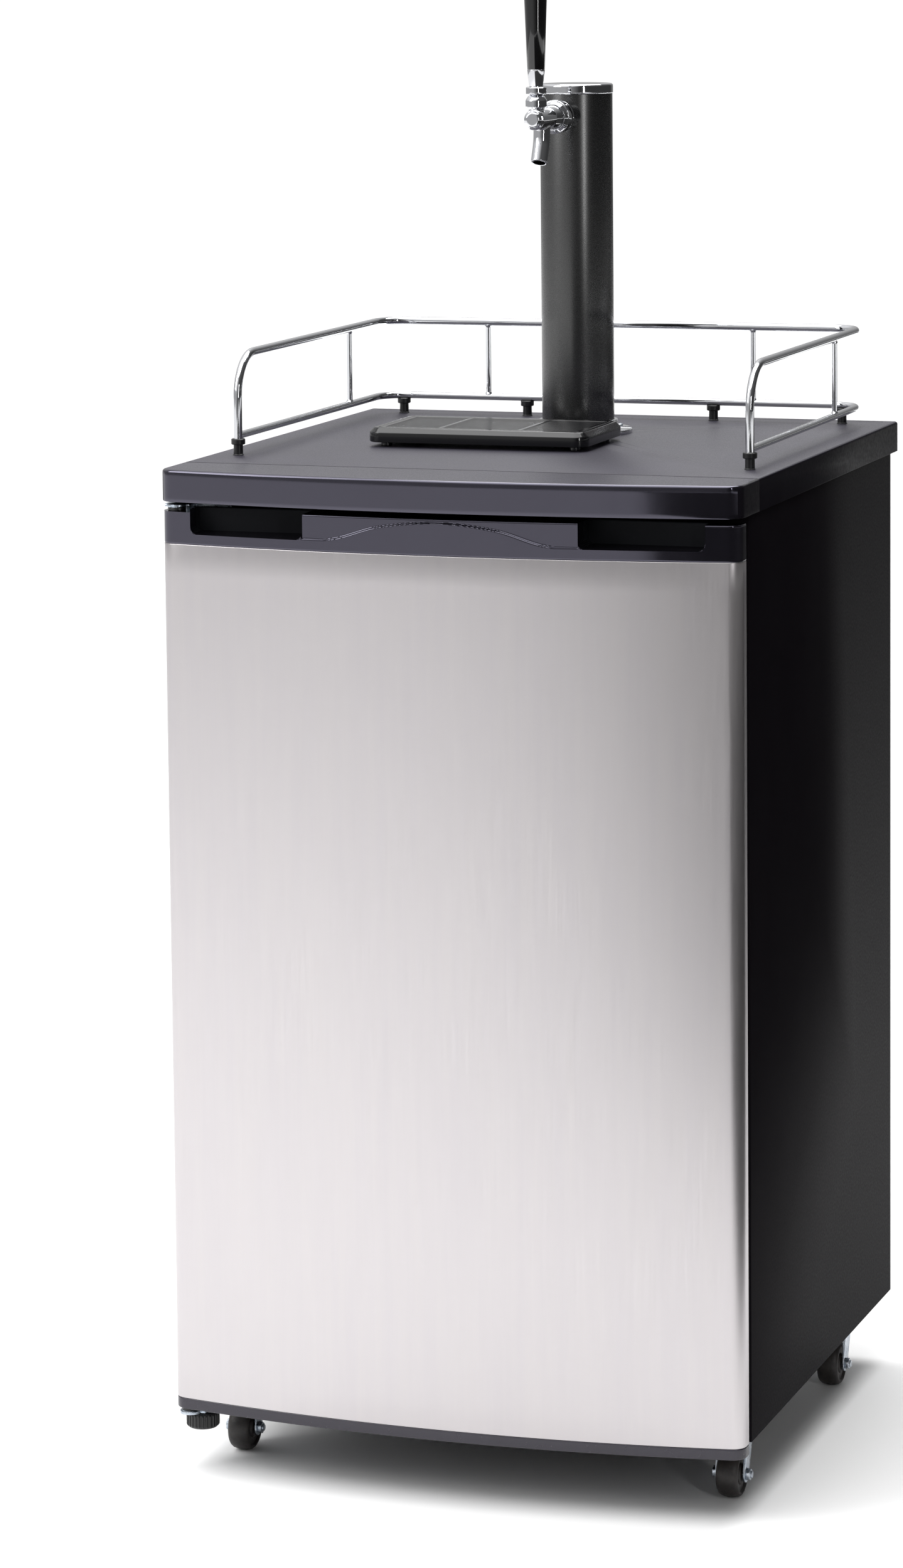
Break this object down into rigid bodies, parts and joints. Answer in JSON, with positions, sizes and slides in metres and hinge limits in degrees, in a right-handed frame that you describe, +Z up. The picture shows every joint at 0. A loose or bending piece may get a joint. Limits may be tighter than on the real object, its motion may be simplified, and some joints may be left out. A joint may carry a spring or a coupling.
{
  "type": "kegerator",
  "caption": "Free-standing single-tap kegerator: bowed steel door, black cabinet on casters, guard rail, drip tray and tower faucet.",
  "frame": {"origin": "on the floor, midway between the worktop's sides and midway between its front and back", "axes": "+X to the right as seen from the front, the door faces -Y, +Z up"},
  "size_m": [0.5, 0.545, 1.2438],
  "materials": {
    "worktop_laminate": "satin",
    "gloss_black_plastic": "gloss",
    "black_cabinet_paint": "satin",
    "zinc_plate": "satin",
    "white_liner_plastic": "satin",
    "insulation_foam": "matte",
    "brushed_door_steel": "brushed",
    "black_plastic": "satin",
    "gasket_rubber": "matte",
    "chrome": "polished",
    "wheel_rubber": "matte",
    "evaporator_aluminium": "satin",
    "compressor_enamel": "gloss",
    "condenser_enamel": "satin",
    "tower_powder_coat": "satin",
    "handle_phenolic": "gloss",
    "beer_line_vinyl": "clear"
  },
  "bodies": {
    "cabinet": {"worktop_panel": "worktop_laminate", "worktop_fascia": "gloss_black_plastic", "cabinet_shell": "black_cabinet_paint", "cabinet_back_panel": "black_cabinet_paint", "cabinet_base_plate": "black_cabinet_paint", "hinge_top_bracket": "zinc_plate", "hinge_bottom_bracket": "zinc_plate", "screws": "zinc_plate", "caster_plates": "zinc_plate", "keg_floor_plate": "zinc_plate", "cabinet_liner": "white_liner_plastic", "thermostat_housing": "white_liner_plastic", "cabinet_foam": "insulation_foam", "rail_feet": "black_plastic", "gas_port_bushing": "black_plastic", "cord_gland": "black_plastic", "condenser_clips": "black_plastic", "compressor_grommets": "gasket_rubber", "rail_top": "chrome", "rail_lower": "chrome", "rail_posts": "chrome", "tower_cap": "chrome", "tower_flange": "chrome", "faucet_body": "chrome", "faucet_bonnet": "chrome", "coupling_nut": "chrome", "faucet_shank": "chrome", "shank_flange": "chrome", "shank_locknut": "chrome", "beer_line_nut": "chrome", "evaporator_plate": "evaporator_aluminium", "compressor": "compressor_enamel", "condenser_coil": "condenser_enamel", "tower_column": "tower_powder_coat", "beer_line": "beer_line_vinyl"},
    "door": {"door_steel_panel": "brushed_door_steel", "door_top_trim": "gloss_black_plastic", "door_bottom_trim": "black_plastic", "door_liner": "white_liner_plastic", "door_foam": "insulation_foam", "door_gasket": "gasket_rubber", "door_hinge_bushings": "black_plastic"},
    "tap_lever": {"faucet_lever": "chrome", "lever_collar": "chrome", "handle_ferrule": "chrome", "tap_handle": "handle_phenolic"},
    "valve": {"valve_shaft": "chrome"},
    "thermostat_dial": {"thermostat_knob": "black_plastic"},
    "foot_stud": {"leveller_stud": "zinc_plate"},
    "foot_knob": {"leveller_foot": "black_plastic"},
    "tray": {"drip_tray": "black_plastic"},
    "grille": {"drip_grille": "black_plastic"},
    "swivel_front_left": {"caster_fork_front_left": "zinc_plate"},
    "wheel_front_left": {"caster_wheel_front_left": "wheel_rubber"},
    "swivel_front_right": {"caster_fork_front_right": "zinc_plate"},
    "wheel_front_right": {"caster_wheel_front_right": "wheel_rubber"},
    "swivel_back_left": {"caster_fork_back_left": "zinc_plate"},
    "wheel_back_left": {"caster_wheel_back_left": "wheel_rubber"},
    "swivel_back_right": {"caster_fork_back_right": "zinc_plate"},
    "wheel_back_right": {"caster_wheel_back_right": "wheel_rubber"}
  },
  "joints": [
    {"name": "door_hinge", "type": "hinge", "parent": "cabinet", "child": "door", "pos_m": [-0.238, -0.2395, 0.44], "axis": [0, 0, -1], "range_deg": [0, 120]},
    {"name": "tap_lever_tilt", "type": "hinge", "parent": "cabinet", "child": "tap_lever", "pos_m": [0, 0.002, 1.149], "axis": [1, 0, 0], "range_deg": [0, 25]},
    {"name": "valve_slide", "type": "slide", "parent": "cabinet", "child": "valve", "axis": [0, 1, 0], "range_m": [0, 0.005]},
    {"name": "thermostat_turn", "type": "hinge", "parent": "cabinet", "child": "thermostat_dial", "pos_m": [0.18, 0.075, 0.754], "axis": [-1, 0, 0], "range_deg": [0, 300]},
    {"name": "foot_stud_travel", "type": "slide", "parent": "cabinet", "child": "foot_stud", "axis": [0, 0, -1], "range_m": [0, 0.0113]},
    {"name": "foot_knob_turn", "type": "hinge", "parent": "foot_stud", "child": "foot_knob", "pos_m": [-0.235, -0.2195, 0.04], "axis": [0, 0, 1], "range_deg": [0, 3240]},
    {"name": "tray_lift", "type": "slide", "parent": "cabinet", "child": "tray", "axis": [0, 0, 1], "range_m": [0, 0.06]},
    {"name": "grille_lift", "type": "slide", "parent": "tray", "child": "grille", "axis": [0, 0, 1], "range_m": [0, 0.03]},
    {"name": "swivel_turn_front_left", "type": "hinge", "parent": "cabinet", "child": "swivel_front_left", "pos_m": [-0.217, -0.15, 0.06], "axis": [0, 0, 1], "continuous": true},
    {"name": "wheel_spin_front_left", "type": "hinge", "parent": "swivel_front_left", "child": "wheel_front_left", "pos_m": [-0.217, -0.168, 0.02], "axis": [1, 0, 0], "continuous": true},
    {"name": "swivel_turn_front_right", "type": "hinge", "parent": "cabinet", "child": "swivel_front_right", "pos_m": [0.217, -0.15, 0.06], "axis": [0, 0, 1], "continuous": true},
    {"name": "wheel_spin_front_right", "type": "hinge", "parent": "swivel_front_right", "child": "wheel_front_right", "pos_m": [0.217, -0.168, 0.02], "axis": [1, 0, 0], "continuous": true},
    {"name": "swivel_turn_back_left", "type": "hinge", "parent": "cabinet", "child": "swivel_back_left", "pos_m": [-0.217, 0.18, 0.06], "axis": [0, 0, 1], "continuous": true},
    {"name": "wheel_spin_back_left", "type": "hinge", "parent": "swivel_back_left", "child": "wheel_back_left", "pos_m": [-0.217, 0.162, 0.02], "axis": [1, 0, 0], "continuous": true},
    {"name": "swivel_turn_back_right", "type": "hinge", "parent": "cabinet", "child": "swivel_back_right", "pos_m": [0.217, 0.18, 0.06], "axis": [0, 0, 1], "continuous": true},
    {"name": "wheel_spin_back_right", "type": "hinge", "parent": "swivel_back_right", "child": "wheel_back_right", "pos_m": [0.217, 0.162, 0.02], "axis": [1, 0, 0], "continuous": true}
  ],
  "couplings": [
    {"joint": "valve_slide", "follows": "tap_lever_tilt", "m_per_rad": 0.0108},
    {"joint": "foot_stud_travel", "follows": "foot_knob_turn", "m_per_rad": 0.00019894}
  ]
}
